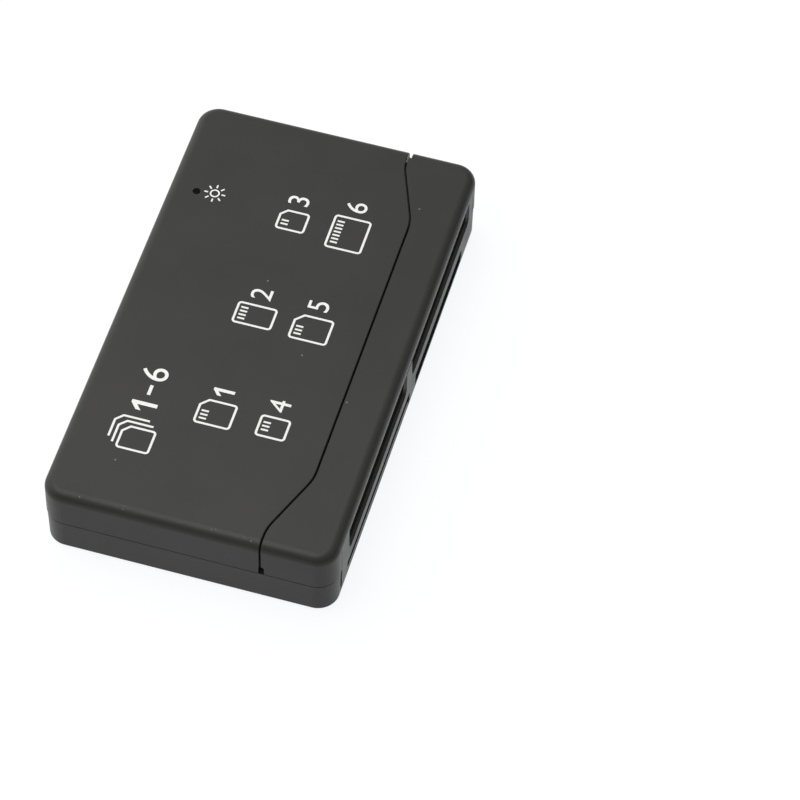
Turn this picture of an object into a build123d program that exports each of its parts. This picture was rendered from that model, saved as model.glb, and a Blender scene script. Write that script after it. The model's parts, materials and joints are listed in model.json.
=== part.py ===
from build123d import *
import os
from math import radians, tan

# A flat memory card reader. Millimetres. The origin is at the middle of the underside.
# +X faces the card slots, +Y runs along the length and +Z is up.

# Body
LENGTH = 90.0
WIDTH = 51.7
HEIGHT = 15.0
CORNER_R = 3.9
TOP_EDGE_R = 1.7
WALL = 1.5
ROOF = 1.5
FLOOR = 1.3

# Lower cover, set in below the parting line
BASE_INSET = 0.1
BASE_DRAFT = 0.8
BASE_CHAMFER = 0.7
BASE_WALL = 1.717
REVEAL_H = 0.3
REVEAL_DEPTH = 0.5
LIP_HEIGHT = 1.2
LIP_CLEAR = 0.1
LIP_END = 8.0

# Circuit board and the bays under and over it
BOARD_T = 1.2
LOWER_BAY = 4.5
BOARD_MARGIN = 0.55
BOARD_CORNER_R = 1.0
PARTING_RISE = 0.3
BOSS_R = 2.0
BOSS_RIGHT = 4.3
BOSS_LEFT = 3.3
BOSS_NEAR = 2.4
BOSS_FAR = 3.8
BOSS_WIDE_GAP = 1.6
PIN_R = 0.8
PIN_RISE = 1.5
PIN_CLEAR = 0.1
POST_HOLE_SPARE = 0.5

# Seam between the top cover and the slot cover
STRIP_MID = 8.3
STRIP_END = 12.9
SEAM_BEND_INNER = 16.0
SEAM_BEND_OUTER = 4.0
SEAM_BEND_R = 9.0
SEAM_GAP = 0.3
SEAM_LIP = 0.1
SEAM_NOTCH_W = 1.0
SEAM_NOTCH_H = 1.9
SEAM_NOTCH_SHIFT = 0.25
SEAM_FLARE_W = 0.8
SEAM_FLARE_D = 1.95
LAP_REACH = 1.5
LAP_T = 0.9

# Plate on the slot side, under the rim of the slot cover
RIM_DEPTH = 2.4
PLATE_T = 1.6
PLATE_END = 4.7
PLATE_GAP = 0.15
PLATE_BEVEL = (0.18, 1.4)
PLATE_HOOK = 1.5
PLATE_HOOK_ROOT = 2.0
PLATE_HOOK_T = 0.8
PLATE_RIB = 3.0
PLATE_RIB_T = 1.0
PLATE_RIB_H = 2.0
POST_Y = 0.15
POST_W = 4.1
POST_DROP = 0.45
WINDOW_NEAR_MARGIN = 9.6
WINDOW_FAR_MARGIN = 7.5
WINDOW_NEAR_SILL = 0.3
WINDOW_FAR_SILL = 0.8
WINDOW_R = 0.9
WINDOW_LEAD_IN = 0.5
NOTCH_NEAR_MARGIN = 8.0
NOTCH_NEAR_REACH = 0.35
NOTCH_FAR_SPARE = 2.5
SHELF_DEPTH = 3.2
SHELF_CLEAR = 0.3
SHELF_DROP = 0.8

# Card sizes, width and thickness
WIDE_CARD = (42.8, 3.3)
FULL_CARD = (24.0, 2.1)
THIN_CARD = (25.0, 1.78)
STICK_CARD = (21.5, 2.8)
MICRO_CARD = (11.0, 1.0)
MICRO_STICK_CARD = (12.5, 1.2)

# Card sockets: depth, base thickness and contact pitch, and then how many contacts each has
FULL_SOCKET = (27.5, 1.0, 2.5)
THIN_SOCKET = (23.0, 0.9, 1.25)
STICK_SOCKET = (27.0, 0.9, 1.8)
MICRO_SOCKET = (14.5, 1.3, 1.1)
MICRO_STICK_SOCKET = (14.5, 1.3, 1.0)
FULL_CONTACT_COUNT = 9
THIN_CONTACT_COUNT = 18
STICK_CONTACT_COUNT = 10
MICRO_CONTACT_COUNT = 8
MICRO_STICK_CONTACT_COUNT = 11
CARD_SIDE_CLEAR = 0.2
CARD_FACE_CLEAR = 0.1
SOCKET_SIDE = 1.4
SOCKET_BACK = 1.6
SOCKET_SETBACK = 0.2
SOCKET_SPACING = 2.0
SHIELD_T = 0.15
SHIELD_SETBACK = 0.3
SHIELD_FOOT = (1.6, 0.7)
SHIELD_SPRING = (6.0, 2.4)
CONTACT_W = 0.5
CONTACT_T = 0.15
CONTACT_SLOT = 0.1
CONTACT_TAIL = 0.8
CONTACT_RUN = 5.0
CONTACT_FLAT = 1.2
CONTACT_DIP = 0.8
CONTACT_RISE = 0.35

# Socket for the widest cards, on the long side away from the plate
WIDE_ARM = 1.6
WIDE_CORNER_R = 1.0
WIDE_WALL_GAP = 0.85
WIDE_FRONT_GAP = 0.15
WIDE_BACK_GAP = 1.6
WIDE_HEADER_DEPTH = 6.0
WIDE_FLOOR_GAP = 0.1
WIDE_MOUTH_SPARE = 0.2
WIDE_RAIL = 0.8
WIDE_PIN_COUNT = 25
WIDE_PIN_PITCH = 1.27
WIDE_PIN_T = 0.45
WIDE_PIN_REACH = 5.0
WIDE_PIN_TAIL = 0.5
FULL_SOCKET_GAP = 1.0

# Mini receptacle for the lead
USB_BOSS_GAP = 1.15
USB_WIDTH = 7.7
USB_KEEL = 6.1
USB_HEIGHT = 3.95
USB_DEPTH = 9.2
USB_SHEET = 0.3
USB_SETBACK = 0.35
USB_CLEAR = 0.35
USB_CHAMFER = 0.8
USB_STEP = 0.8
USB_PLUG_DEPTH = 5.2
USB_TONGUE = (4.3, 0.9, 4.2)
USB_TONGUE_RISE = 2.2
USB_CONTACT_COUNT = 5
USB_PITCH = 0.8
USB_CONTACT_W = 0.4
USB_FOOT = 0.8

# Parts on the upper face of the board, placed from the port's side of the body and from the port
LIGHT_FROM_SIDE = 5.2
LIGHT_PAST_PORT = 9.8
LIGHT_HOLE_R = 0.7
LIGHT_R = 1.5
LIGHT_TAPER = 0.7
LIGHT_FLANGE_R = 1.9
LIGHT_FLANGE_H = 1.0
LIGHT_HEADROOM = 0.6
CHIP_FROM_SIDE = 13.0
CHIP_Y = -12.0
CHIP_SIDE = 7.0
CHIP_H = 1.4
CHIP_LIFT = 0.1
CHIP_EDGE = 0.25
CHIP_LEAD_COUNT = 12
CHIP_PITCH = 0.5
LEAD_W = 0.22
LEAD_T = 0.13
LEAD_OUT = 1.0
LEAD_FOOT = 0.5
CRYSTAL_FROM_SIDE = 17.0
CRYSTAL_SIZE = (4.7, 11.0, 3.4)
CRYSTAL_BASE = (5.4, 12.0, 0.5)
REGULATOR_FROM_SIDE = 13.5
REGULATOR_PAST_PORT = 5.0
REGULATOR_SIZE = (3.5, 6.5, 1.6)
REGULATOR_LEAD_COUNT = 3
REGULATOR_PITCH = 2.3
REGULATOR_LEAD_W = 0.7
REGULATOR_TAB_W = 3.0
CAPACITOR_FROM_SIDE = 14.0
CAPACITOR_PAST_PORT = 12.5
CAPACITOR_R = 2.5
CAPACITOR_HEADROOM = 1.1
CAPACITOR_BASE = (5.3, 1.0)
CHIP_PART = (1.6, 0.8, 0.6)
CHIP_PART_PITCH = 3.0
CHIP_PARTS_Y = -24.0
CERAMICS_FROM_SIDE = 6.0
CERAMICS_COUNT = 7
RESISTORS_FROM_SIDE = 19.5
RESISTORS_COUNT = 5

# Heights and half sizes that follow from the values above
BOARD_LOW = FLOOR + LOWER_BAY
BOARD_TOP = BOARD_LOW + BOARD_T
PARTING_Z = BOARD_TOP + PARTING_RISE
RIM_Z = HEIGHT - RIM_DEPTH
CEILING_Z = HEIGHT - ROOF
PLATE_HALF = LENGTH / 2 - PLATE_END
PLATE_BACK = WIDTH / 2 - PLATE_T
SOCKET_FRONT = PLATE_BACK - SOCKET_SETBACK
MICRO_DROP = MICRO_STICK_SOCKET[1] + MICRO_STICK_CARD[1] + CARD_FACE_CLEAR + SHIELD_T
SHELF_TOP = BOARD_LOW - MICRO_DROP - SHELF_DROP
NOTCH_NEAR_TOP = BOARD_LOW - min(MICRO_SOCKET[1], MICRO_STICK_SOCKET[1]) + CARD_FACE_CLEAR
NOTCH_FAR_TOP = BOARD_LOW - FULL_SOCKET[1] + CARD_FACE_CLEAR
FOOT_INSET = BASE_INSET + PARTING_Z * tan(radians(BASE_DRAFT))
BASE_IN = FOOT_INSET + BASE_WALL
BASE_IN_X = WIDTH / 2 - BASE_IN
BASE_IN_Y = LENGTH / 2 - BASE_IN
BOARD_X = BASE_IN_X - BOARD_MARGIN
BOARD_Y = BASE_IN_Y - BOARD_MARGIN
PORT_SIDE = -WIDTH / 2
SEAM_MID_X = WIDTH / 2 - STRIP_MID
SEAM_END_X = WIDTH / 2 - STRIP_END

# Places along the length
WINDOW_NEAR = (-LENGTH / 2 + WINDOW_NEAR_MARGIN, POST_Y - POST_W / 2)
WINDOW_FAR = (POST_Y + POST_W / 2, LENGTH / 2 - WINDOW_FAR_MARGIN)
WIDE_MOUTH = WIDE_CARD[0] + 2 * CARD_SIDE_CLEAR
WIDE_LOW_Y = -BASE_IN_Y + WIDE_WALL_GAP
WIDE_HIGH_Y = WIDE_LOW_Y + WIDE_MOUTH + 2 * WIDE_ARM
WIDE_Y = (WIDE_LOW_Y + WIDE_HIGH_Y) / 2
WIDE_Z = (FLOOR + WIDE_FLOOR_GAP + BOARD_LOW) / 2
WIDE_FRONT = -BASE_IN_X + WIDE_FRONT_GAP
MICRO_BACK = SOCKET_FRONT - max(MICRO_SOCKET[0], MICRO_STICK_SOCKET[0]) - CONTACT_TAIL
WIDE_BACK = MICRO_BACK - WIDE_BACK_GAP - 2 * WIDE_PIN_TAIL
WIDE_STOP = WIDE_BACK - WIDE_HEADER_DEPTH
WIDE_PIN_ROWS = (WIDE_Z - WIDE_PIN_PITCH / 2, WIDE_Z + WIDE_PIN_PITCH / 2)
FULL_MOUTH = FULL_CARD[0] + 2 * CARD_SIDE_CLEAR
FULL_Y = WIDE_HIGH_Y + FULL_SOCKET_GAP + SOCKET_SIDE + FULL_MOUTH / 2
NOTCH_NEAR = (-LENGTH / 2 + NOTCH_NEAR_MARGIN, POST_Y + NOTCH_NEAR_REACH)
NOTCH_FAR = (FULL_Y - FULL_MOUTH / 2 - NOTCH_FAR_SPARE, FULL_Y + FULL_MOUTH / 2 + NOTCH_FAR_SPARE)
BOSS_MID_Y = WIDE_HIGH_Y + BOSS_WIDE_GAP + BOSS_R
PINNED_BOSSES = [
    (BOARD_X - BOSS_RIGHT, -BOARD_Y + BOSS_NEAR),
    (-BOARD_X + BOSS_LEFT, BOARD_Y - BOSS_FAR),
]
BOSSES = PINNED_BOSSES + [
    (BOARD_X - BOSS_RIGHT, BOARD_Y - BOSS_FAR),
    (-BOARD_X + BOSS_LEFT, BOSS_MID_Y),
]
USB_Y = BOSS_MID_Y + BOSS_R + USB_BOSS_GAP + USB_WIDTH / 2
LIGHT_AT = (PORT_SIDE + LIGHT_FROM_SIDE, USB_Y + LIGHT_PAST_PORT)
CHIP_AT = (PORT_SIDE + CHIP_FROM_SIDE, CHIP_Y)
CRYSTAL_AT = (PORT_SIDE + CRYSTAL_FROM_SIDE, 0)
REGULATOR_AT = (PORT_SIDE + REGULATOR_FROM_SIDE, USB_Y + REGULATOR_PAST_PORT)
CAPACITOR_AT = (PORT_SIDE + CAPACITOR_FROM_SIDE, USB_Y + CAPACITOR_PAST_PORT)
CERAMICS_AT = (PORT_SIDE + CERAMICS_FROM_SIDE, CHIP_PARTS_Y)
RESISTORS_AT = (PORT_SIDE + RESISTORS_FROM_SIDE, CHIP_PARTS_Y)
PAST = LENGTH


def block(x, y, z):
    """A box from three (low, high) pairs."""
    centre = Pos((x[0] + x[1]) / 2, (y[0] + y[1]) / 2, (z[0] + z[1]) / 2)
    return centre * Box(x[1] - x[0], y[1] - y[0], z[1] - z[0])


def about(middle, size):
    """The (low, high) pair of a size centred on a middle."""
    return middle - size / 2, middle + size / 2


def slab(inset, low, high):
    """The body's rounded plan, taken in by an inset, between two heights."""
    plan = RectangleRounded(WIDTH - 2 * inset, LENGTH - 2 * inset, CORNER_R - inset)
    return extrude(Pos(0, 0, low) * plan, high - low)


def rod(at, radius, low, high):
    """An upright cylinder at a plan position."""
    return Pos(at[0], at[1], (low + high) / 2) * Cylinder(radius, high - low)


def strip(path, thickness, width):
    """A bent metal strip: a path in X and Z with an upright thickness, as wide along Y."""
    upper = [(x, z + thickness) for x, z in reversed(path)]
    outline = Plane.XZ * make_face(Polyline(*path, *upper, close=True))
    return extrude(outline, width / 2, both=True)


# Casing

def slot_side(shift):
    """The plan on the slots' side of the bent seam, as an upright prism."""
    inner = LENGTH / 2 - SEAM_BEND_INNER
    outer = LENGTH / 2 - SEAM_BEND_OUTER
    points = [
        (SEAM_END_X, -PAST),
        (SEAM_END_X, -outer),
        (SEAM_MID_X, -inner),
        (SEAM_MID_X, inner),
        (SEAM_END_X, outer),
        (SEAM_END_X, PAST),
        (PAST, PAST),
        (PAST, -PAST),
    ]
    plan = make_face(FilletPolyline(*points, radius=SEAM_BEND_R, close=True))
    return Pos(shift, 0, 0) * extrude(plan, 2 * HEIGHT)


def upper_shell():
    """The upper casing before the seam parts it."""
    outer = slab(0, PARTING_Z, HEIGHT)
    outer = fillet(outer.edges().group_by(Axis.Z)[-1], TOP_EDGE_R)
    return outer - slab(WALL, PARTING_Z - WALL, CEILING_Z)


def ease_seam(cover, seam_x):
    """Takes the sharp edge off a cover along the seam: over the top and down both ends."""
    def on_seam(edge):
        middle = edge.center()
        on_top = middle.Z > HEIGHT - SEAM_LIP / 10 and middle.X > SEAM_END_X - SEAM_GAP
        on_top = on_top and middle.X < SEAM_MID_X + SEAM_GAP
        box = edge.bounding_box()
        down_end = box.size.X < SEAM_LIP / 10 and abs(middle.X - seam_x) < SEAM_LIP / 10
        down_end = down_end and abs(middle.Y) > LENGTH / 2 - TOP_EDGE_R / 2
        return on_top or down_end
    return chamfer(cover.edges().filter_by(on_seam), SEAM_LIP)


def seam_notch():
    """The small notch where the seam meets the parting line, at both ends."""
    x = SEAM_END_X + SEAM_NOTCH_SHIFT
    z = (PARTING_Z, PARTING_Z + SEAM_NOTCH_H - SEAM_NOTCH_W / 2)
    arch = Pos(x, 0, z[1]) * Rot(90, 0, 0) * Cylinder(SEAM_NOTCH_W / 2, 2 * PAST)
    notch = block(about(x, SEAM_NOTCH_W), (-PAST, PAST), z) + arch
    return notch - slab(WALL, PARTING_Z - WALL, HEIGHT)


def seam_flare():
    """The wider mouth of the seam in the far end wall."""
    x = SEAM_END_X - SEAM_GAP / 2
    return block((x, x + SEAM_FLARE_W), (LENGTH / 2 - SEAM_FLARE_D, PAST), (PARTING_Z, 2 * HEIGHT))


def post(at):
    """A post that holds the board down on a boss, hollow where the boss has a pin."""
    tube = rod(at, BOSS_R, BOARD_TOP, CEILING_Z)
    if at in PINNED_BOSSES:
        tube -= rod(at, PIN_R + PIN_CLEAR, BOARD_TOP, BOARD_TOP + PIN_RISE + POST_HOLE_SPARE)
    return tube


def top_cover():
    """The main upper cover, left of the seam."""
    cover = upper_shell() - slot_side(-SEAM_GAP / 2)
    cover = ease_seam(cover, SEAM_END_X - SEAM_GAP / 2) - seam_notch()
    for at in BOSSES:
        if at[0] < 0:
            cover += post(at)
    cover -= rod(LIGHT_AT, LIGHT_HOLE_R, CEILING_Z - ROOF, HEIGHT + ROOF)
    usb_top = BOARD_TOP + USB_HEIGHT + USB_CLEAR
    port = block((-WIDTH, PORT_SIDE + 2 * WALL), about(USB_Y, USB_WIDTH + 2 * USB_CLEAR), (0, usb_top))
    return cover - port


def slot_cover():
    """The front strip of the top, with its rim, corners and the tongue under the seam."""
    cover = upper_shell() & slot_side(SEAM_GAP / 2)
    cover = ease_seam(cover, SEAM_END_X + SEAM_GAP / 2) - seam_notch()
    cover -= block((PLATE_BACK - PLATE_T, WIDTH), (-PLATE_HALF, PLATE_HALF), (0, RIM_Z))
    tongue_low = PARTING_Z + LIP_HEIGHT + LIP_CLEAR
    lining = slab(WALL, tongue_low, CEILING_Z) - slab(WALL + LAP_T, 0, CEILING_Z - LAP_T)
    cover += lining & (slot_side(-LAP_REACH) - slot_side(LAP_REACH))
    for at in BOSSES:
        if at[0] > 0:
            cover += post(at)
    return cover - seam_flare()


def slot_plate():
    """The plate with two windows under the rim, two notches over the floor and feet that lean in."""
    def hole(y, low, high, radius):
        size = RectangleRounded(y[1] - y[0], high - low, radius)
        return Pos((y[0] + y[1]) / 2, (low + high) / 2) * size

    half = PLATE_HALF - PLATE_GAP
    above = RIM_Z + RIM_DEPTH
    below = FLOOR - LOWER_BAY
    face = Pos(0, (FLOOR + RIM_Z) / 2) * Rectangle(2 * half, RIM_Z - FLOOR)
    face -= hole(WINDOW_NEAR, BOARD_TOP + WINDOW_NEAR_SILL, above, WINDOW_R)
    face -= hole(WINDOW_FAR, BOARD_TOP + WINDOW_FAR_SILL, above, WINDOW_R)
    gap_y = (WINDOW_NEAR[1] - WINDOW_R, WINDOW_FAR[0] + WINDOW_R)
    face -= hole(gap_y, RIM_Z - POST_DROP, above, POST_DROP / 2)
    face -= hole(NOTCH_NEAR, below, NOTCH_NEAR_TOP, POST_DROP)
    face -= hole(NOTCH_FAR, below, NOTCH_FAR_TOP, POST_DROP)
    plate = extrude(Plane.YZ.offset(PLATE_BACK) * face, PLATE_T)
    front, deep, tall = WIDTH / 2, *PLATE_BEVEL
    bevel = [(front - deep, FLOOR), (front, FLOOR + tall), (front + deep, FLOOR + tall), (front + deep, FLOOR)]
    plate -= extrude(Plane.XZ * make_face(Polyline(*bevel, close=True)), LENGTH / 2, both=True)

    def lead_in(edge):
        middle = edge.center()
        in_height = BOARD_TOP - WINDOW_R / 10 < middle.Z < RIM_Z - POST_DROP - WINDOW_R / 10
        return in_height and abs(middle.Y) < half - WINDOW_R

    plate = chamfer(plate.edges().group_by(Axis.X)[-1].filter_by(lead_in), WINDOW_LEAD_IN)
    hook_z = (PARTING_Z + LIP_CLEAR, RIM_Z - LIP_CLEAR)
    hook_front = WIDTH / 2 - WALL - LIP_CLEAR
    hook_x = (hook_front - PLATE_HOOK_T, hook_front)
    hook = block(hook_x, (half - PLATE_HOOK_ROOT, half + PLATE_HOOK), hook_z)
    return plate + hook + mirror(hook, Plane.XZ)


def bottom_cover():
    """The lower shell: drafted walls, board bosses, a locating lip and seats for the plate."""
    plan = RectangleRounded(WIDTH - 2 * BASE_INSET, LENGTH - 2 * BASE_INSET, CORNER_R - BASE_INSET)
    body = extrude(Pos(0, 0, PARTING_Z) * plan, PARTING_Z, dir=(0, 0, -1), taper=BASE_DRAFT)
    body = chamfer(body.edges().group_by(Axis.Z)[0], BASE_CHAMFER)
    cover = body - slab(BASE_IN, FLOOR, HEIGHT)
    cover -= slab(-WALL, PARTING_Z - REVEAL_H, PARTING_Z) - slab(BASE_INSET + REVEAL_DEPTH, 0, HEIGHT)
    lip = slab(WALL + LIP_CLEAR, PARTING_Z, PARTING_Z + LIP_HEIGHT) - slab(BASE_IN, 0, HEIGHT)
    cover += lip - block((WIDTH / 2 - LIP_END, WIDTH), (-PAST, PAST), (0, HEIGHT))
    cover -= block((BASE_IN_X - WALL, WIDTH), (-PLATE_HALF, PLATE_HALF), (FLOOR, HEIGHT))

    rib_x = (PLATE_BACK - LIP_CLEAR - PLATE_RIB_T, PLATE_BACK - LIP_CLEAR)
    rib = block(rib_x, (PLATE_HALF - PLATE_RIB, PLATE_HALF), (FLOOR, FLOOR + PLATE_RIB_H))
    cover += rib + mirror(rib, Plane.XZ)
    shelf_x = (WIDTH / 2 - FOOT_INSET - SHELF_DEPTH, WIDTH / 2 - FOOT_INSET)
    shelf_y = (NOTCH_NEAR[0] + SHELF_CLEAR, NOTCH_NEAR[1] - SHELF_CLEAR)
    cover += block(shelf_x, shelf_y, (FLOOR, SHELF_TOP))
    for at in BOSSES:
        cover += rod(at, BOSS_R, FLOOR, BOARD_LOW)
    for at in PINNED_BOSSES:
        cover += rod(at, PIN_R, BOARD_LOW, BOARD_TOP + PIN_RISE)

    mouth_z = about(WIDE_Z, WIDE_CARD[1] + 2 * WIDE_MOUTH_SPARE)
    mouth_y = about(WIDE_Y, WIDE_MOUTH + 2 * WIDE_MOUTH_SPARE)
    cover -= block((-WIDTH, -BASE_IN_X + WALL), mouth_y, mouth_z)
    port_y = about(USB_Y, USB_WIDTH + 2 * USB_CLEAR)
    return cover - block((-WIDTH, -BASE_IN_X + WALL), port_y, (BOARD_TOP - USB_CLEAR, HEIGHT))


def main_board():
    """The circuit board, with holes for the locating pins."""
    plan = RectangleRounded(2 * BOARD_X, 2 * BOARD_Y, BOARD_CORNER_R)
    board = extrude(Pos(0, 0, BOARD_LOW) * plan, BOARD_T)
    for at in PINNED_BOSSES:
        board -= rod(at, PIN_R + PIN_CLEAR, BOARD_LOW - BOARD_T, BOARD_TOP + BOARD_T)
    return board


# Card sockets, made with the mouth at x 0, the board's face at z 0 and the card above it

def contact_places(count, pitch):
    return [(i - (count - 1) / 2) * pitch for i in range(count)]


def socket_housing(card, socket, count):
    """A moulded tray with a slot through its back wall for each contact and a window for their arms."""
    depth, base, pitch = socket
    mouth = card[0] + 2 * CARD_SIDE_CLEAR
    top = base + card[1] + CARD_FACE_CLEAR
    tray = block((-depth, 0), about(0, mouth + 2 * SOCKET_SIDE), (0, top))
    tray -= block((-depth + SOCKET_BACK, depth), about(0, mouth), (base, 2 * top))
    window_x = (-depth + SOCKET_BACK, -depth + CONTACT_RUN + CONTACT_SLOT)
    window_y = about(0, (count - 1) * pitch + CONTACT_W + 2 * CONTACT_SLOT)
    tray -= block(window_x, window_y, (-base, 2 * base))
    for y in contact_places(count, pitch):
        slot_y = about(y, CONTACT_W + 2 * CONTACT_SLOT)
        tray -= block((-2 * depth, -depth + SOCKET_BACK), slot_y, (-base, base))
    return tray


def socket_shield(card, socket):
    """A folded sheet over the tray, with two sprung tongues and four solder feet."""
    depth, base = socket[:2]
    inner = card[0] + 2 * CARD_SIDE_CLEAR + 2 * SOCKET_SIDE
    top = base + card[1] + CARD_FACE_CLEAR
    x = (-depth, -SHIELD_SETBACK)
    shield = block(x, about(0, inner + 2 * SHIELD_T), (0, top + SHIELD_T))
    shield -= block((-2 * depth, depth), about(0, inner), (-top, top))
    length, width = SHIELD_SPRING
    for side in (-1, 1):
        y = side * card[0] / 4
        window = block(about(-depth / 2, length), about(y, width), (top, 2 * top))
        tongue = block(about(-depth / 2 - SHIELD_T, length), about(y, width / 2), (top, 2 * top))
        shield -= window - tongue
        for foot_x in (x[0] + SHIELD_FOOT[0], x[1] - SHIELD_FOOT[0]):
            foot_y = side * (inner / 2 + SHIELD_T + SHIELD_FOOT[1] / 2)
            foot = about(foot_x, SHIELD_FOOT[0]), about(foot_y, SHIELD_FOOT[1])
            shield += block(*foot, (0, SHIELD_T))
    return shield


def socket_contacts(socket, count):
    """Spring contacts: a tail on the board, a flat through the tray and an arm up to the card."""
    depth, base, pitch = socket
    path = [
        (-depth - CONTACT_TAIL, 0),
        (-depth + CONTACT_FLAT, 0),
        (-depth + CONTACT_RUN - CONTACT_DIP, base + CONTACT_RISE),
        (-depth + CONTACT_RUN, base),
    ]
    spring = strip(path, CONTACT_T, CONTACT_W)
    return Compound([Pos(0, y, 0) * spring for y in contact_places(count, pitch)])


def socket_nodes(name, card, socket, count, place):
    return {
        name + "_housing": place * socket_housing(card, socket, count),
        name + "_shield": place * socket_shield(card, socket),
        name + "_contacts": place * socket_contacts(socket, count),
    }


def on_board(y):
    return Pos(SOCKET_FRONT, y, BOARD_TOP)


def under_board(y):
    return Pos(SOCKET_FRONT, y, BOARD_LOW) * Rot(180, 0, 0)


def card_sockets():
    """Two sockets on the board, behind the windows, and three under it, behind the notches."""
    thin = on_board(sum(WINDOW_NEAR) / 2)
    stick = on_board(sum(WINDOW_FAR) / 2)
    sides = 2 * (CARD_SIDE_CLEAR + SOCKET_SIDE)
    card_wide = MICRO_CARD[0] + sides
    stick_wide = MICRO_STICK_CARD[0] + sides
    low = sum(NOTCH_NEAR) / 2 - (card_wide + SOCKET_SPACING + stick_wide) / 2
    micro = under_board(low + card_wide / 2)
    micro_stick = under_board(low + card_wide + SOCKET_SPACING + stick_wide / 2)
    nodes = socket_nodes("full_card", FULL_CARD, FULL_SOCKET, FULL_CONTACT_COUNT, under_board(FULL_Y))
    nodes |= socket_nodes("thin_card", THIN_CARD, THIN_SOCKET, THIN_CONTACT_COUNT, thin)
    nodes |= socket_nodes("stick", STICK_CARD, STICK_SOCKET, STICK_CONTACT_COUNT, stick)
    nodes |= socket_nodes("micro_card", MICRO_CARD, MICRO_SOCKET, MICRO_CONTACT_COUNT, micro)
    nodes |= socket_nodes(
        "micro_stick", MICRO_STICK_CARD, MICRO_STICK_SOCKET, MICRO_STICK_CONTACT_COUNT, micro_stick
    )
    return nodes


def wide_card_header():
    """A header block with two channelled arms that guide a card in from the side wall."""
    z = (FLOOR + WIDE_FLOOR_GAP, BOARD_LOW)
    header = block((WIDE_FRONT, WIDE_BACK), (WIDE_LOW_Y, WIDE_HIGH_Y), z)
    header = fillet(header.edges().filter_by(Axis.Z).group_by(Axis.X)[0], WIDE_CORNER_R)
    header -= block((-WIDTH, WIDE_STOP), about(WIDE_Y, WIDE_MOUTH - 2 * WIDE_RAIL), (0, HEIGHT))
    channel = about(WIDE_Z, WIDE_CARD[1] + 2 * CARD_FACE_CLEAR)
    header -= block((-WIDTH, WIDE_STOP), about(WIDE_Y, WIDE_MOUTH), channel)
    row = about(WIDE_Y, (WIDE_PIN_COUNT - 1) * WIDE_PIN_PITCH + WIDE_PIN_T)
    for z in WIDE_PIN_ROWS:
        header -= block((-WIDTH, WIDTH), row, about(z, WIDE_PIN_T))
    return header


def wide_card_pins():
    """Two rows of square pins through the header, each pin with a tail up to the board."""
    pins = []
    for rank, z in enumerate(reversed(WIDE_PIN_ROWS)):
        tail = WIDE_BACK + WIDE_PIN_TAIL * (rank + 1)
        for y in contact_places(WIDE_PIN_COUNT, WIDE_PIN_PITCH):
            width = about(WIDE_Y + y, WIDE_PIN_T)
            pin = block((WIDE_STOP - WIDE_PIN_REACH, tail), width, about(z, WIDE_PIN_T))
            pin += block((tail - WIDE_PIN_T, tail), width, (z - WIDE_PIN_T / 2, BOARD_LOW))
            pins.append(pin)
    return Compound(pins)


# Mini receptacle, made with its mouth at x 0, its depth along +X and the board's face at z 0

def usb_profile(inset):
    """The receptacle's keyed section: full width above, narrower below."""
    half = USB_WIDTH / 2 - inset
    keel = USB_KEEL / 2 - inset
    top = USB_HEIGHT - inset
    points = [
        (-keel, inset),
        (keel, inset),
        (keel, USB_STEP),
        (half, USB_STEP + USB_CHAMFER),
        (half, top),
        (-half, top),
        (-half, USB_STEP + USB_CHAMFER),
        (-keel, USB_STEP),
    ]
    return Plane.YZ * make_face(Polyline(*points, close=True))


def usb_place():
    return Pos(PORT_SIDE + USB_SETBACK, USB_Y, BOARD_TOP)


def usb_shell():
    """The folded shell, open at the front and the back, with two solder wings each side."""
    shell = extrude(usb_profile(0), USB_DEPTH) - extrude(usb_profile(USB_SHEET), USB_DEPTH)
    for x in (USB_DEPTH / 2, USB_DEPTH - USB_FOOT):
        wing = block(about(x, USB_FOOT), about(0, USB_WIDTH + 2 * USB_FOOT), (0, USB_SHEET))
        shell += wing - block((0, USB_DEPTH), about(0, USB_KEEL - USB_SHEET), (-HEIGHT, HEIGHT))
    return usb_place() * shell


def usb_insulator():
    """The moulded block at the back of the shell, with the tongue between the contacts."""
    width, thick, reach = USB_TONGUE
    back = USB_DEPTH - USB_PLUG_DEPTH
    body = Pos(USB_PLUG_DEPTH, 0, 0) * extrude(usb_profile(USB_SHEET), back)
    tongue_x = (USB_PLUG_DEPTH - reach, USB_PLUG_DEPTH)
    body += block(tongue_x, about(0, width), about(USB_TONGUE_RISE, thick))
    groove_z = (-HEIGHT, USB_TONGUE_RISE - thick / 2 + CONTACT_T)
    for y in contact_places(USB_CONTACT_COUNT, USB_PITCH):
        body -= block((0, 2 * USB_DEPTH), about(y, USB_CONTACT_W), groove_z)
    return usb_place() * body


def usb_contacts():
    """Contacts along the underside of the tongue, with tails down to the board."""
    thick, reach = USB_TONGUE[1:]
    level = USB_TONGUE_RISE - thick / 2
    path = [
        (USB_PLUG_DEPTH - reach + CONTACT_T, level),
        (USB_DEPTH, level),
        (USB_DEPTH + CONTACT_TAIL / 2, 0),
        (USB_DEPTH + CONTACT_TAIL, 0),
    ]
    contact = strip(path, CONTACT_T, USB_CONTACT_W)
    places = contact_places(USB_CONTACT_COUNT, USB_PITCH)
    return Compound([usb_place() * Pos(0, y, 0) * contact for y in places])


# Parts on the board's upper face

def access_light():
    """A small round lamp whose tapered end stands under the hole in the top cover."""
    body = rod(LIGHT_AT, LIGHT_R, BOARD_TOP, CEILING_Z - LIGHT_HEADROOM)
    body = chamfer(body.edges().group_by(Axis.Z)[-1], LIGHT_TAPER)
    return body + rod(LIGHT_AT, LIGHT_FLANGE_R, BOARD_TOP, BOARD_TOP + LIGHT_FLANGE_H)


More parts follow.
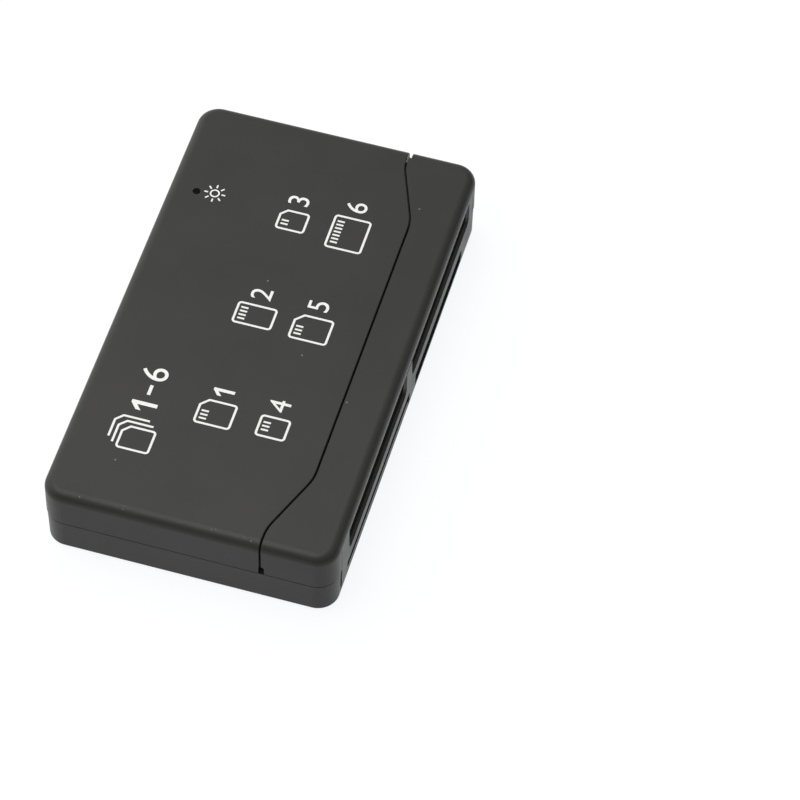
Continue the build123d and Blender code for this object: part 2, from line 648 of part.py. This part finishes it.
def controller_chip():
    x, y = CHIP_AT
    low = BOARD_TOP + CHIP_LIFT
    body = block(about(x, CHIP_SIDE), about(y, CHIP_SIDE), (low, low + CHIP_H))
    return chamfer(body.edges().group_by(Axis.Z)[-1], CHIP_EDGE)


def gull_wing(width, root):
    """A lead from a package's side, at x 0, down to the board."""
    path = [(0, root), (LEAD_OUT - LEAD_FOOT / 2, 0), (LEAD_OUT + LEAD_FOOT / 2, 0)]
    return strip(path, LEAD_T, width)


def controller_leads():
    """Rows of leads on the chip's four sides."""
    lead = Pos(CHIP_SIDE / 2, 0, 0) * gull_wing(LEAD_W, CHIP_LIFT + CHIP_H / 2)
    row = [Pos(0, y, 0) * lead for y in contact_places(CHIP_LEAD_COUNT, CHIP_PITCH)]
    place = Pos(CHIP_AT[0], CHIP_AT[1], BOARD_TOP)
    return Compound([place * Rot(0, 0, turn) * lead for turn in (0, 90, 180, 270) for lead in row])


def crystal():
    """A low oval can on its base."""
    x, y = CRYSTAL_AT
    width, length, height = CRYSTAL_SIZE
    base_x, base_y, base_h = CRYSTAL_BASE
    base = block(about(x, base_x), about(y, base_y), (BOARD_TOP, BOARD_TOP + base_h))
    can = extrude(Pos(x, y, BOARD_TOP) * Rot(0, 0, 90) * SlotOverall(length, width), height)
    return base + can


def regulator():
    x, y = REGULATOR_AT
    width, length, height = REGULATOR_SIZE
    body = block(about(x, width), about(y, length), (BOARD_TOP + CHIP_LIFT, BOARD_TOP + height))
    return chamfer(body.edges().group_by(Axis.Z)[-1], CHIP_EDGE)


def regulator_leads():
    """Three leads on one side and the wide tab on the other."""
    root = REGULATOR_SIZE[2] / 2
    place = Pos(REGULATOR_AT[0], REGULATOR_AT[1], BOARD_TOP)
    out = Pos(REGULATOR_SIZE[0] / 2, 0, 0)
    lead = out * gull_wing(REGULATOR_LEAD_W, root)
    leads = [place * Pos(0, y, 0) * lead for y in contact_places(REGULATOR_LEAD_COUNT, REGULATOR_PITCH)]
    tab = place * Rot(0, 0, 180) * out * gull_wing(REGULATOR_TAB_W, root)
    return Compound(leads + [tab])


def bulk_capacitor():
    """A small can on a square base."""
    x, y = CAPACITOR_AT
    side, base_h = CAPACITOR_BASE
    base = block(about(x, side), about(y, side), (BOARD_TOP, BOARD_TOP + base_h))
    can = rod(CAPACITOR_AT, CAPACITOR_R, BOARD_TOP, CEILING_Z - CAPACITOR_HEADROOM)
    return base + chamfer(can.edges().group_by(Axis.Z)[-1], CHIP_EDGE)


def chip_parts(at, count):
    """A row of small two-ended parts along Y."""
    length, width, height = CHIP_PART
    z = (BOARD_TOP, BOARD_TOP + height)
    row = [at[1] + i * CHIP_PART_PITCH for i in range(count)]
    return Compound([block(about(at[0], length), about(y, width), z) for y in row])


PIECES = {
    "top_cover": top_cover(),
    "slot_cover": slot_cover(),
    "slot_plate": slot_plate(),
    "bottom_cover": bottom_cover(),
    "main_board": main_board(),
    "wide_card_header": wide_card_header(),
    "wide_card_pins": wide_card_pins(),
    "usb_shell": usb_shell(),
    "usb_insulator": usb_insulator(),
    "usb_contacts": usb_contacts(),
    "controller_chip": controller_chip(),
    "controller_leads": controller_leads(),
    "crystal": crystal(),
    "regulator": regulator(),
    "regulator_leads": regulator_leads(),
    "bulk_capacitor": bulk_capacitor(),
    "chip_capacitors": chip_parts(CERAMICS_AT, CERAMICS_COUNT),
    "chip_resistors": chip_parts(RESISTORS_AT, RESISTORS_COUNT),
    "access_light": access_light(),
}
PIECES |= card_sockets()

os.makedirs("parts", exist_ok=True)
for node, piece in PIECES.items():
    export_step(piece, f"parts/{node}.step")
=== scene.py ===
import json
import math

import bmesh
import bpy
from mathutils import Matrix, Vector


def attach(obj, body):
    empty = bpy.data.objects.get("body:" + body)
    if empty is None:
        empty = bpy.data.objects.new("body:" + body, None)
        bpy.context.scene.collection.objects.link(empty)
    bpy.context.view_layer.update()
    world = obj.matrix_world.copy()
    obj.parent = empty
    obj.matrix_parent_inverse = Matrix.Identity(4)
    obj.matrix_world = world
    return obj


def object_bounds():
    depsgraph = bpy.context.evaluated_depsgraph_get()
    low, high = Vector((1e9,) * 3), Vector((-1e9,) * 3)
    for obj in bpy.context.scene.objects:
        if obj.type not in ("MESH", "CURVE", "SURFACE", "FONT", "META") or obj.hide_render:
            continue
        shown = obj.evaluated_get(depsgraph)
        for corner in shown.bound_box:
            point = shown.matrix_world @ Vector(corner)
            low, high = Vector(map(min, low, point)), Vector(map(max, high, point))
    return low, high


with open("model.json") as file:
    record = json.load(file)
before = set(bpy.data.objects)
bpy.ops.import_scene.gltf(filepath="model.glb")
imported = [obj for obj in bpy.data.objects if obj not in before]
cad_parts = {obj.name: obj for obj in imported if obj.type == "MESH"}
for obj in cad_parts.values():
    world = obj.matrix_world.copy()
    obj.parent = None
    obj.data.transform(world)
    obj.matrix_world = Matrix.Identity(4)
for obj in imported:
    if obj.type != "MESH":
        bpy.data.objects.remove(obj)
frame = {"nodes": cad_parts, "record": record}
CAD_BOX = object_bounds()
NODES = frame["nodes"]
MM = 0.001

# Camera, as the photograph was taken: where it looks, from which side, how far off and how long a lens
LOOK_AT = Vector((23.825, 1.665, 0.0)) * MM
CAMERA_AZIMUTH = 15.117
CAMERA_ELEVATION = 53.491
CAMERA_DISTANCE = 688.95 * MM
CAMERA_ROLL = 1.506
CAMERA_LENS = 177.21
CAMERA_CLIP = 0.01
SENSOR = 36.0

# Studio: a pale floor, one softbox close overhead and a room that is bright above and to the far left
FLOOR_SIDE = 12.0
FLOOR_DROP = 0.02 * MM
FLOOR_MATT = (0.8, 0.8, 0.8, 1)
FLOOR_SHADE = (0.12, 0.12, 0.12, 1)
FLOOR_TINT = (0.98, 1.0, 1.015, 1)
FLOOR_GLOW = 0.9
SOFTBOX_AT = Vector((-0.12, -0.01, 0.5))
SOFTBOX_SIZE = (0.36, 0.52)
SOFTBOX_GLOW = 3.0
SOFTBOX_COLOUR = (1.0, 0.985, 0.95)
ROOM_COLOUR = (1.0, 0.99, 0.95, 1)
ROOM_GLOOM = 0.08
ROOM_DOME = 0.42
DOME_HEIGHTS = (0.2, 0.72)
BRIGHT_SIDE = Vector((-0.9, 0.42, 0.0))
BRIGHT_FROM = (0.3, 0.9)
BRIGHT_GLOW = 1.4

# Casing finish: how coarse its grain and marks are, its two shades, the dust on it, and the pale specks
# on its near top edge, which are partly dust and partly painted glints of that edge's highlight
GRAIN = 0.16 * MM
GRAIN_DEPTH = 0.006 * MM
GRAIN_BUMP = 0.35
GRAIN_ROUGH = 0.03
CLOUD = 14 * MM
SMEAR = 5 * MM
CASING_ROUGH = (0.35, 0.42)
CASING_IOR = 1.3
CASING_SHADES = ((0.028, 0.0285, 0.028, 1), (0.033, 0.033, 0.0315, 1))
# Colour of the pale specks: dust, and on the near top edge also painted glints
DUST_AND_GLINT_COLOUR = (0.2, 0.2, 0.19, 1)
DUST = {"cell": 2.6 * MM, "radius": 0.16 * MM, "share": 0.07}
# Pale specks on the near top edge: partly dust, partly painted glints along the edge's highlight
EDGE_DUST_AND_GLINTS = {"cell": 0.7 * MM, "radius": 0.13 * MM, "share": 0.16}
FACES_UP = 0.6
FACES_NEAR = -0.15

# Print on the top, in millimetres: along is +Y, and up is away from the slots
TOP_Z = CAD_BOX[1].z
PRINT_LIFT = 0.004
PRINT_T = 0.012
STROKE = 0.4
CORNER_STEPS = 5
CARD_CORNER_R = 0.7
BAR_W = 0.36
BAR_PITCH = 0.8
BAR_H = 1.3
NUMBER_SIZE = 5.4
NUMBER_GAP = 1.1
NUMBER_H = 0.69
ONE_STEM = 0.115
ONE_FLAG = 0.17
ONE_TIP = 1.2
ONE_ROOT = 1.4
# One sign per slot: place along, place up, width, height, cut corner, contact bars
CARD_SIGNS = (
    (-21.0, 2.4, 5.4, 6.6, 1.4, 3),
    (1.0, 2.4, 4.8, 7.2, 0.0, 4),
    (23.0, 2.4, 4.6, 5.4, 1.2, 2),
    (-21.0, -7.8, 4.6, 5.4, 0.0, 3),
    (1.0, -7.8, 5.6, 7.0, 1.5, 3),
    (23.0, -7.8, 7.6, 6.8, 0.0, 7),
)
RANGE_AT = (-30.0, 13.6)
RANGE_CARD = (5.0, 6.0, 1.3)
RANGE_STEP = 0.95
RANGE_GAP = 1.6
RANGE_SIZE = 6.6
RANGE_DASH = (2.1, 0.6)
LAMP_AT = (25.0, 17.4)
LAMP_RING_R = 0.9
LAMP_RAYS = 8
LAMP_RAY = (1.25, 1.95)
LAMP_STROKE = 0.28


# Node tree helpers

class Tree:
    """Builds one material's node tree, with its shader already joined to the output."""

    def __init__(self, name):
        self.material = bpy.data.materials.new(name)
        self.material.use_nodes = True
        self.nodes = self.material.node_tree.nodes
        self.links = self.material.node_tree.links
        self.shader = self.nodes["Principled BSDF"]
        self.place = self.add("ShaderNodeTexCoord").outputs["Object"]

    def add(self, kind, **settings):
        node = self.nodes.new(kind)
        for key, value in settings.items():
            setattr(node, key, value)
        return node

    def join(self, out, into):
        self.links.new(out, into)

    def noise(self, size, detail=2.0, roughness=0.5):
        """A noise about as coarse as a size in metres."""
        node = self.add("ShaderNodeTexNoise")
        node.inputs["Scale"].default_value = 1 / size
        node.inputs["Detail"].default_value = detail
        node.inputs["Roughness"].default_value = roughness
        self.join(self.place, node.inputs["Vector"])
        return node.outputs["Fac"]

    def spread(self, value, low, high, start=0.3, end=0.7):
        """Maps a value between start and end to a range."""
        node = self.add("ShaderNodeMapRange")
        node.inputs["From Min"].default_value = start
        node.inputs["From Max"].default_value = end
        node.inputs["To Min"].default_value = low
        node.inputs["To Max"].default_value = high
        self.join(value, node.inputs["Value"])
        return node.outputs["Result"]

    def math(self, operation, a, b):
        node = self.add("ShaderNodeMath", operation=operation)
        for socket, value in zip(node.inputs, (a, b)):
            if isinstance(value, (int, float)):
                socket.default_value = value
            else:
                self.join(value, socket)
        return node.outputs[0]

    def mix(self, amount, a, b):
        """A colour between two colours, each a colour or another node's output."""
        node = self.add("ShaderNodeMix", data_type="RGBA")
        self.join(amount, node.inputs["Factor"])
        for socket, value in ((node.inputs[6], a), (node.inputs[7], b)):
            if isinstance(value, tuple):
                socket.default_value = value
            else:
                self.join(value, socket)
        return node.outputs[2]

    def bump(self, height, depth, strength=1.0, normal=None):
        node = self.add("ShaderNodeBump")
        node.inputs["Strength"].default_value = strength
        node.inputs["Distance"].default_value = depth
        self.join(height, node.inputs["Height"])
        if normal is not None:
            self.join(normal, node.inputs["Normal"])
        return node.outputs["Normal"]

    def set(self, **values):
        for name, value in values.items():
            socket = self.shader.inputs[name.replace("_", " ")]
            if isinstance(value, bpy.types.NodeSocket):
                self.join(value, socket)
            else:
                socket.default_value = value
        return self.material


def facing(tree, axis, limit, operation):
    """1 where the surface's normal is above or below a limit on one axis."""
    parts = tree.add("ShaderNodeSeparateXYZ")
    tree.join(tree.add("ShaderNodeNewGeometry").outputs["Normal"], parts.inputs["Vector"])
    return tree.math(operation, parts.outputs[axis], limit)


def specks(tree, cell, radius, share, where):
    """Small spots, one in a share of the cells, kept to a part of the surface."""
    cells = tree.add("ShaderNodeTexVoronoi", feature="F1")
    cells.inputs["Scale"].default_value = 1 / cell
    cells.inputs["Randomness"].default_value = 1.0
    tree.join(tree.place, cells.inputs["Vector"])
    near = tree.math("LESS_THAN", cells.outputs["Distance"], radius / cell)
    pick = tree.add("ShaderNodeSeparateColor")
    tree.join(cells.outputs["Color"], pick.inputs["Color"])
    chosen = tree.math("LESS_THAN", pick.outputs["Red"], share)
    return tree.math("MULTIPLY", tree.math("MULTIPLY", near, chosen), where)


# Materials

def casing_plastic():
    """Black satin moulding with a fine grain, faint handling marks, dust, and pale specks on the near top
    edge that are partly dust and partly painted glints of its highlight.
    """
    tree = Tree("casing_plastic")
    grain = tree.noise(GRAIN, detail=3.0, roughness=0.6)
    cloud = tree.noise(CLOUD, detail=3.0)
    smear = tree.noise(SMEAR, detail=4.0, roughness=0.65)
    upward = facing(tree, "Z", FACES_UP, "GREATER_THAN")
    near_edge = tree.math("MULTIPLY", upward, facing(tree, "Y", FACES_NEAR, "LESS_THAN"))
    # Pale specks: dust on upward faces, and on the near top edge specks that are partly dust and partly
    # painted glints of its highlight
    dust_and_glints = tree.math("MAXIMUM", specks(tree, where=upward, **DUST), specks(tree, where=near_edge, **EDGE_DUST_AND_GLINTS))
    shade = tree.mix(tree.spread(cloud, 0.0, 1.0), *CASING_SHADES)
    rough = tree.math(
        "ADD", tree.spread(smear, *CASING_ROUGH), tree.spread(grain, -GRAIN_ROUGH, GRAIN_ROUGH)
    )
    return tree.set(
        Base_Color=tree.mix(dust_and_glints, shade, DUST_AND_GLINT_COLOUR),
        Roughness=tree.math("MAXIMUM", rough, dust_and_glints),
        IOR=CASING_IOR,
        Normal=tree.bump(grain, GRAIN_DEPTH, strength=GRAIN_BUMP),
    )


def board_laminate():
    """Green solder mask over the weave of the laminate, with tracks that show through it."""
    tree = Tree("board_laminate")
    weave = tree.add("ShaderNodeTexWave", wave_type="BANDS", bands_direction="X")
    weave.inputs["Scale"].default_value = 1 / (1.4 * MM)
    weave.inputs["Distortion"].default_value = 0.6
    tree.join(tree.place, weave.inputs["Vector"])
    tracks = tree.add("ShaderNodeTexBrick")
    tracks.inputs["Scale"].default_value = 1 / (1.2 * MM)
    tracks.inputs["Mortar Size"].default_value = 0.06
    tree.join(tree.place, tracks.inputs["Vector"])
    colour = tree.mix(tracks.outputs["Fac"], (0.012, 0.11, 0.04, 1), (0.03, 0.2, 0.08, 1))
    height = tree.math("ADD", tree.math("MULTIPLY", weave.outputs["Fac"], 0.3), tracks.outputs["Fac"])
    return tree.set(
        Base_Color=colour,
        Roughness=tree.spread(tree.noise(3 * MM), 0.28, 0.42),
        Normal=tree.bump(height, 0.02 * MM, strength=0.4),
    )


def filled_plastic(name, dark, pale):
    """Glass-filled moulding: dull, with pale fibre ends and flow marks."""
    tree = Tree(name)
    fibres = tree.noise(0.3 * MM, detail=4.0, roughness=0.7)
    flow = tree.noise(2.5 * MM, detail=2.0)
    colour = tree.mix(tree.spread(fibres, 0.0, 1.0, 0.5, 0.85), dark, pale)
    return tree.set(
        Base_Color=colour,
        Roughness=tree.spread(flow, 0.45, 0.62),
        Normal=tree.bump(fibres, 0.01 * MM, strength=0.4),
    )


def drawn_metal(name, colour, tarnish, low, high, along):
    """Sheet or drawn metal with fine rolling lines and patches of tarnish."""
    tree = Tree(name)
    stretch = tree.add("ShaderNodeMapping")
    stretch.inputs["Scale"].default_value = along
    tree.join(tree.place, stretch.inputs["Vector"])
    lines = tree.add("ShaderNodeTexNoise")
    lines.inputs["Scale"].default_value = 1 / (0.2 * MM)
    tree.join(stretch.outputs["Vector"], lines.inputs["Vector"])
    patches = tree.noise(2 * MM, detail=3.0)
    return tree.set(
        Base_Color=tree.mix(tree.spread(patches, 0.0, 1.0), colour, tarnish),
        Metallic=1.0,
        Roughness=tree.spread(lines.outputs["Fac"], low, high),
        Normal=tree.bump(lines.outputs["Fac"], 0.004 * MM, strength=0.3),
    )


def fired_ceramic(name, colour, end):
    """A small fired part whose colour is mottled at random between its body colour and its end colour."""
    tree = Tree(name)
    mottle = tree.noise(0.25 * MM, detail=3.0)
    return tree.set(
        Base_Color=tree.mix(tree.spread(mottle, 0.0, 1.0), colour, end),
        Roughness=tree.spread(mottle, 0.3, 0.5),
        Normal=tree.bump(mottle, 0.01 * MM, strength=0.3),
    )


def lamp_lens():
    """Milky moulding of the small lamp, with faint moulding swirls."""
    tree = Tree("lamp_lens")
    swirl = tree.noise(0.8 * MM, detail=2.0)
    return tree.set(
        Base_Color=tree.mix(tree.spread(swirl, 0.0, 1.0), (0.55, 0.57, 0.52, 1), (0.72, 0.74, 0.68, 1)),
        Roughness=tree.spread(swirl, 0.12, 0.25),
        Subsurface_Weight=0.3,
        Subsurface_Radius=(0.001, 0.001, 0.001),
    )


def print_white():
    """White screen print: slightly uneven ink with a soft sheen."""
    tree = Tree("print_white")
    ink = tree.noise(0.18 * MM, detail=3.0, roughness=0.6)
    return tree.set(
        Base_Color=tree.mix(tree.spread(ink, 0.0, 1.0), (0.7, 0.71, 0.72, 1), (0.86, 0.87, 0.87, 1)),
        Roughness=tree.spread(ink, 0.5, 0.65),
        Normal=tree.bump(ink, 0.004 * MM, strength=0.3),
    )


def dress_nodes():
    """Gives each CAD node the material of its slot."""
    steel = drawn_metal(
        "shield_steel", (0.62, 0.62, 0.6, 1), (0.44, 0.44, 0.42, 1), 0.22, 0.4, (1.0, 0.05, 1.0)
    )
    materials = {
        "casing_plastic": casing_plastic(),
        "board_laminate": board_laminate(),
        "socket_plastic": filled_plastic(
            "socket_plastic", (0.012, 0.012, 0.013, 1), (0.03, 0.03, 0.032, 1)
        ),
        "shield_steel": steel,
        "contact_gold": drawn_metal(
            "contact_gold", (0.83, 0.6, 0.24, 1), (0.68, 0.46, 0.18, 1), 0.18, 0.34, (1.0, 0.1, 1.0)
        ),
        "chip_resin": filled_plastic("chip_resin", (0.01, 0.01, 0.011, 1), (0.035, 0.035, 0.036, 1)),
        "lead_tin": drawn_metal(
            "lead_tin", (0.7, 0.7, 0.69, 1), (0.5, 0.5, 0.5, 1), 0.28, 0.45, (1.0, 1.0, 0.2)
        ),
        "can_metal": drawn_metal(
            "can_metal", (0.74, 0.74, 0.73, 1), (0.6, 0.6, 0.6, 1), 0.2, 0.36, (1.0, 1.0, 0.1)
        ),
        "ceramic_tan": fired_ceramic("ceramic_tan", (0.34, 0.23, 0.13, 1), (0.46, 0.34, 0.21, 1)),
        "resistor_film": fired_ceramic(
            "resistor_film", (0.015, 0.015, 0.018, 1), (0.04, 0.04, 0.045, 1)
        ),
        "lamp_lens": lamp_lens(),
    }
    for part in frame["record"]["subparts"]:
        mesh = NODES[part["node"]].data
        mesh.materials.clear()
        mesh.materials.append(materials[part["material_slot"]])


# Print on the top: plain card outlines with slot numbers, and a lamp sign beside the light's hole

def printed(bm, along, up, height):
    """A vertex of the print from its place in millimetres."""
    return bm.verts.new(Vector((-up, along, height)) * MM + Vector((0, 0, TOP_Z)))


def prism(bm, outline):
    """A filled shape of ink from a counterclockwise outline."""
    low = [printed(bm, u, v, PRINT_LIFT) for u, v in outline]
    high = [printed(bm, u, v, PRINT_LIFT + PRINT_T) for u, v in outline]
    bm.faces.new(high)
    bm.faces.new(low[::-1])
    for i in range(len(outline)):
        bm.faces.new((low[i - 1], low[i], high[i], high[i - 1]))


def band(bm, outer, inner):
    """A line of ink between two outlines with as many points each."""
    low, high = PRINT_LIFT, PRINT_LIFT + PRINT_T
    section = ((outer, low), (outer, high), (inner, high), (inner, low))
    rings = [[printed(bm, u, v, height) for u, v in outline] for outline, height in section]
    for j in range(len(rings)):
        a, b = rings[j - 1], rings[j]
        for i in range(len(outer)):
            bm.faces.new((a[i - 1], a[i], b[i], b[i - 1]))


def arc(centre, radius, start, sweep, steps):
    angles = [math.radians(start + sweep * i / steps) for i in range(steps + 1)]
    return [(centre[0] + radius * math.cos(a), centre[1] + radius * math.sin(a)) for a in angles]


def card_outline(centre, width, height, cut, inset):
    """A card's rounded outline with one corner cut off, taken in by an inset."""
    half_w, half_h = width / 2 - inset, height / 2 - inset
    radius = CARD_CORNER_R - inset
    points = []
    for start, side_u, side_v in ((180, -1, -1), (270, 1, -1), (0, 1, 1), (90, -1, 1)):
        corner = (centre[0] + side_u * half_w, centre[1] + side_v * half_h)
        if cut and start == 0:
            trim = cut - (2 - math.sqrt(2)) * inset
            points += [(corner[0], corner[1] - trim), (corner[0] - trim, corner[1])]
        else:
            middle = (corner[0] - side_u * radius, corner[1] - side_v * radius)
            points += arc(middle, radius, start, 90, CORNER_STEPS)
    return points


def card_sign(bm, centre, width, height, cut):
    band(bm, *(card_outline(centre, width, height, cut, inset) for inset in (0, STROKE)))


def card_behind(bm, centre, width, height, cut):
    """The top and right edge of a card that lies behind another."""
    left, right = centre[0] - width / 2, centre[0] + width / 2
    low, top = centre[1] - height / 2, centre[1] + height / 2
    mitre = (math.sqrt(2) - 1) * STROKE
    prism(bm, [
        (right - STROKE, low), (right, low), (right, top - cut), (right - cut, top), (left, top),
        (left, top - STROKE), (right - cut - mitre, top - STROKE), (right - STROKE, top - cut - mitre),
    ])


def bar(bm, centre, width, height):
    u, v = centre
    prism(bm, [
        (u - width / 2, v - height / 2), (u + width / 2, v - height / 2),
        (u + width / 2, v + height / 2), (u - width / 2, v + height / 2),
    ])


def one(bm, start, size):
    """The numeral 1 as a stem with a slanted flag."""
    u, stem, flag = start[0], ONE_STEM * size, ONE_FLAG * size
    foot, top = start[1] - NUMBER_H * size / 2, start[1] + NUMBER_H * size / 2
    prism(bm, [
        (u + flag, foot), (u + flag + stem, foot), (u + flag + stem, top), (u + flag + stem / 4, top),
        (u, top - flag), (u, top - flag - ONE_TIP * stem), (u + flag, top - ONE_ROOT * stem),
    ])


def number(bm, digit, start, size):
    """A numeral that begins at a place, centred up and down on it."""
    if digit == "1":
        one(bm, start, size)
        return
    curve = bpy.data.curves.new("numeral", "FONT")
    curve.body = digit
    curve.size = size
    curve.align_y = "CENTER"
    curve.extrude = PRINT_T / 2
    holder = bpy.data.objects.new("numeral", curve)
    bpy.context.scene.collection.objects.link(holder)
    mesh = bpy.data.meshes.new_from_object(holder)
    lift = Vector((-start[1], start[0], PRINT_LIFT + PRINT_T / 2)) * MM + Vector((0, 0, TOP_Z))
    mesh.transform(Matrix.Translation(lift) @ Matrix.Rotation(math.pi / 2, 4, "Z") @ Matrix.Scale(MM, 4))
    bm.from_mesh(mesh)
    bpy.data.objects.remove(holder)
    bpy.data.curves.remove(curve)
    bpy.data.meshes.remove(mesh)


def draw_cards(bm):
    for along, up, width, height, cut, bars in CARD_SIGNS:
        card_sign(bm, (along, up), width, height, cut)
        middle = along - cut / 2
        for i in range(bars):
            place = middle + BAR_PITCH * (i - (bars - 1) / 2)
            bar(bm, (place, up + height / 2 - 2 * STROKE - BAR_H / 2), BAR_W, BAR_H)


def draw_numbers(bm):
    for i, (along, up, width, *_) in enumerate(CARD_SIGNS):
        number(bm, str(i + 1), (along + width / 2 + NUMBER_GAP, up), NUMBER_SIZE)


def draw_range(bm):
    """A small stack of cards, then the first and the last slot's number with a dash between them."""
    along, up = RANGE_AT
    width, height, cut = RANGE_CARD
    card_sign(bm, RANGE_AT, width, height, cut)
    for i in (1, 2):
        card_behind(bm, (along + i * RANGE_STEP, up + i * RANGE_STEP), width, height, cut)
    level = up + RANGE_STEP
    start = along + width / 2 + 2 * RANGE_STEP + RANGE_GAP
    number(bm, "1", (start, level), RANGE_SIZE)
    dash = start + (ONE_FLAG + ONE_STEM) * RANGE_SIZE + RANGE_GAP + RANGE_DASH[0] / 2
    bar(bm, (dash, level), *RANGE_DASH)
    number(bm, str(len(CARD_SIGNS)), (dash + RANGE_DASH[0] / 2 + RANGE_GAP / 2, level), RANGE_SIZE)


def draw_lamp(bm):
    """A ring with short rays."""
    points = 4 * CORNER_STEPS
    turn = 360 - 360 / points
    band(bm, *(arc(LAMP_AT, LAMP_RING_R - taken, 0, turn, points - 1) for taken in (0, LAMP_STROKE)))
    for i in range(LAMP_RAYS):
        angle = 2 * math.pi * i / LAMP_RAYS
        out = Vector((math.cos(angle), math.sin(angle)))
        side = Vector((-out.y, out.x)) * LAMP_STROKE / 2
        near, far = (Vector(LAMP_AT) + out * reach for reach in LAMP_RAY)
        prism(bm, [tuple(p) for p in (near - side, far - side, far + side, near + side)])


def printed_piece(name, draw, ink):
    bm = bmesh.new()
    draw(bm)
    mesh = bpy.data.meshes.new(name)
    bm.to_mesh(mesh)
    bm.free()
    mesh.materials.clear()
    mesh.materials.append(ink)
    piece = bpy.data.objects.new(name, mesh)
    bpy.context.scene.collection.objects.link(piece)
    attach(piece, "root")


def print_top():
    ink = print_white()
    printed_piece("card_signs", draw_cards, ink)
    printed_piece("slot_numbers", draw_numbers, ink)
    printed_piece("slot_range", draw_range, ink)
    printed_piece("lamp_sign", draw_lamp, ink)


# Stage

def floor_and_light():
    """A pale floor that keeps the shadow, and the softbox over the reader."""
    half, low = FLOOR_SIDE / 2, -FLOOR_DROP
    mesh = bpy.data.meshes.new("floor")
    corners = [(-half, -half, low), (half, -half, low), (half, half, low), (-half, half, low)]
    mesh.from_pydata(corners, [], [(0, 1, 2, 3)])
    mesh.materials.append(floor_material())
    floor = bpy.data.objects.new("floor", mesh)
    bpy.context.scene.collection.objects.link(floor)

    lamp = bpy.data.lights.new("softbox", "AREA")
    lamp.shape = "RECTANGLE"
    lamp.size, lamp.size_y = SOFTBOX_SIZE
    lamp.energy = SOFTBOX_GLOW * math.pi * SOFTBOX_SIZE[0] * SOFTBOX_SIZE[1]
    lamp.color = SOFTBOX_COLOUR
    softbox = bpy.data.objects.new("softbox", lamp)
    softbox.location = SOFTBOX_AT
    softbox.visible_camera = False
    bpy.context.scene.collection.objects.link(softbox)
    room()
    bpy.context.scene.view_settings.view_transform = "Standard"


def room():
    """A room that is dim at the horizon, brighter overhead and brightest to the far left."""
    world = bpy.data.worlds.new("room")
    world.use_nodes = True
    nodes, links = world.node_tree.nodes, world.node_tree.links
    way = nodes.new("ShaderNodeTexCoord").outputs["Generated"]

    def ramp(value, limits, glow, kind):
        node = nodes.new("ShaderNodeMapRange")
        node.interpolation_type = kind
        node.inputs["From Min"].default_value, node.inputs["From Max"].default_value = limits
        node.inputs["To Max"].default_value = glow
        links.new(value, node.inputs["Value"])
        return node.outputs["Result"]

    def total(a, b):
        node = nodes.new("ShaderNodeMath")
        links.new(a, node.inputs[0])
        if isinstance(b, float):
            node.inputs[1].default_value = b
        else:
            links.new(b, node.inputs[1])
        return node.outputs[0]

    height = nodes.new("ShaderNodeSeparateXYZ")
    links.new(way, height.inputs[0])
    side = nodes.new("ShaderNodeVectorMath")
    side.operation = "DOT_PRODUCT"
    side.inputs[1].default_value = BRIGHT_SIDE
    links.new(way, side.inputs[0])
    dome = ramp(height.outputs["Z"], DOME_HEIGHTS, ROOM_DOME, "SMOOTHSTEP")
    bright = ramp(side.outputs["Value"], BRIGHT_FROM, BRIGHT_GLOW, "LINEAR")
    back = nodes["Background"]
    back.inputs["Color"].default_value = ROOM_COLOUR
    links.new(total(total(dome, bright), ROOM_GLOOM), back.inputs["Strength"])
    bpy.context.scene.world = world


def floor_material():
    """White in view and in reflections, yet dimmed where the object shades it, and clear from below."""
    tree = Tree("floor")
    tree.nodes.remove(tree.shader)
    matt = tree.add("ShaderNodeBsdfDiffuse")
    matt.inputs["Color"].default_value = FLOOR_MATT
    seen = tree.add("ShaderNodeBsdfDiffuse")
    seen.inputs["Color"].default_value = FLOOR_SHADE
    glow = tree.add("ShaderNodeEmission")
    glow.inputs["Color"].default_value = FLOOR_TINT
    glow.inputs["Strength"].default_value = FLOOR_GLOW
    white = tree.add("ShaderNodeAddShader")
    tree.join(seen.outputs[0], white.inputs[0])
    tree.join(glow.outputs[0], white.inputs[1])
    path = tree.add("ShaderNodeLightPath")
    shown = tree.math("MAXIMUM", path.outputs["Is Camera Ray"], path.outputs["Is Glossy Ray"])
    shown = tree.math("MAXIMUM", shown, path.outputs["Is Transmission Ray"])
    pick = tree.add("ShaderNodeMixShader")
    tree.join(shown, pick.inputs[0])
    tree.join(matt.outputs[0], pick.inputs[1])
    tree.join(white.outputs[0], pick.inputs[2])
    one_sided = tree.add("ShaderNodeMixShader")
    tree.join(tree.add("ShaderNodeNewGeometry").outputs["Backfacing"], one_sided.inputs[0])
    tree.join(pick.outputs[0], one_sided.inputs[1])
    tree.join(tree.add("ShaderNodeBsdfTransparent").outputs[0], one_sided.inputs[2])
    tree.join(one_sided.outputs[0], tree.nodes["Material Output"].inputs["Surface"])
    return tree.material


def camera():
    azimuth = math.radians(CAMERA_AZIMUTH)
    elevation = math.radians(CAMERA_ELEVATION)
    flat = math.cos(elevation)
    away = Vector((flat * math.sin(azimuth), -flat * math.cos(azimuth), math.sin(elevation)))
    data = bpy.data.cameras.new("camera")
    data.sensor_fit = "HORIZONTAL"
    data.sensor_width = SENSOR
    data.lens = CAMERA_LENS
    data.clip_start = CAMERA_CLIP
    roll = Matrix.Rotation(math.radians(CAMERA_ROLL), 3, "Z")
    turn = (-away).to_track_quat("-Z", "Y").to_matrix() @ roll
    view = bpy.data.objects.new("camera", data)
    view.matrix_world = Matrix.Translation(LOOK_AT + away * CAMERA_DISTANCE) @ turn.to_4x4()
    bpy.context.scene.collection.objects.link(view)
    bpy.context.scene.camera = view


def main():
    dress_nodes()
    print_top()
    floor_and_light()
    camera()


main()
